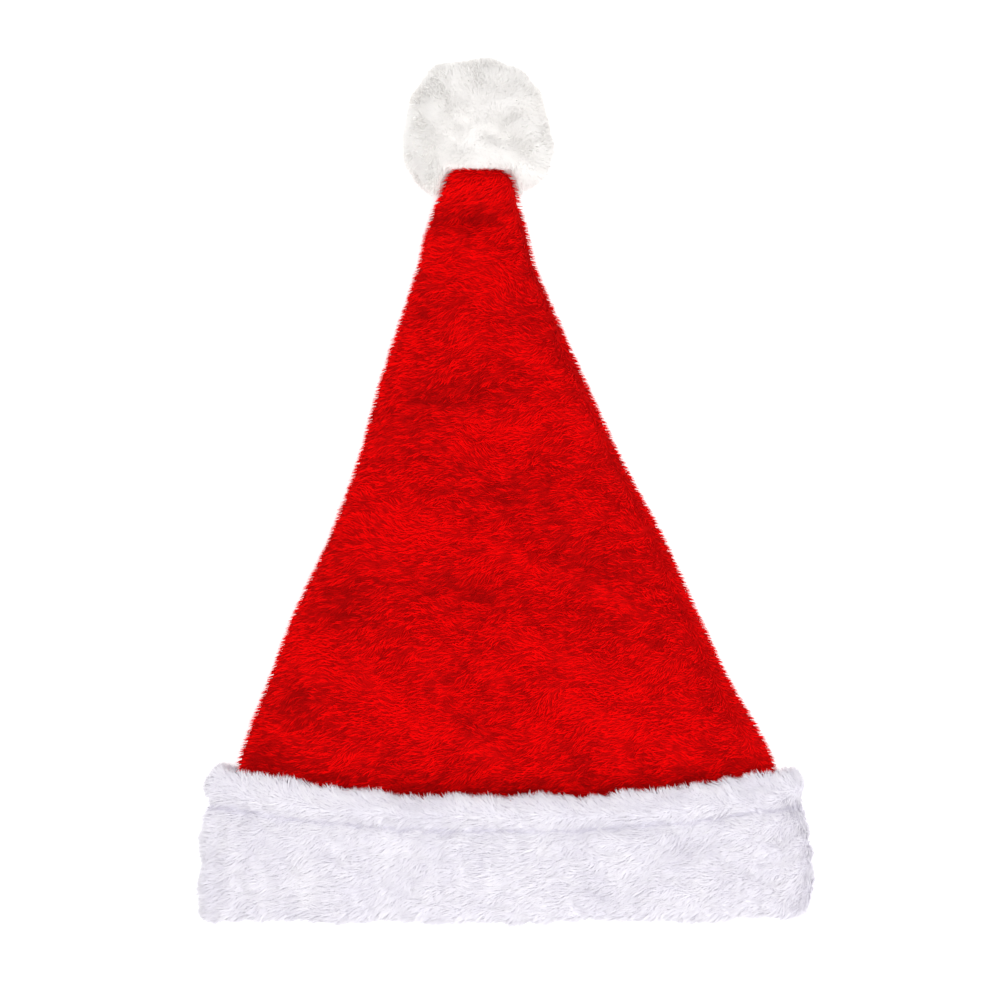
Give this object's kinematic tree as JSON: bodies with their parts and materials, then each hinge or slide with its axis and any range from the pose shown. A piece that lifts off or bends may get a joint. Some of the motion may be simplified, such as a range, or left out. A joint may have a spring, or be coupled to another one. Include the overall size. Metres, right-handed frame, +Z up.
{
  "type": "santa hat",
  "caption": "Soft plush cone hat laid flat, with a deep white fur cuff, two sewn red panels and a fluffy white pompom at the tip.",
  "frame": {"origin": "centre of the hat's bounding box, on the surface that the hat lies on", "axes": "+Y from the mouth of the hat to its tip and pompom, +X to the right as seen from above, +Z up from the surface, out of the front panel"},
  "size_m": [0.3086, 0.4276, 0.0547],
  "materials": {
    "red_plush": "short polyester plush pile",
    "white_fur": "long soft polyester faux fur",
    "white_pompom": "loose fluffy polyester pile"
  },
  "bodies": {
    "root": {"crown_front": "red_plush", "crown_back": "red_plush", "cuff": "white_fur", "pompom": "white_pompom"}
  },
  "joints": []
}
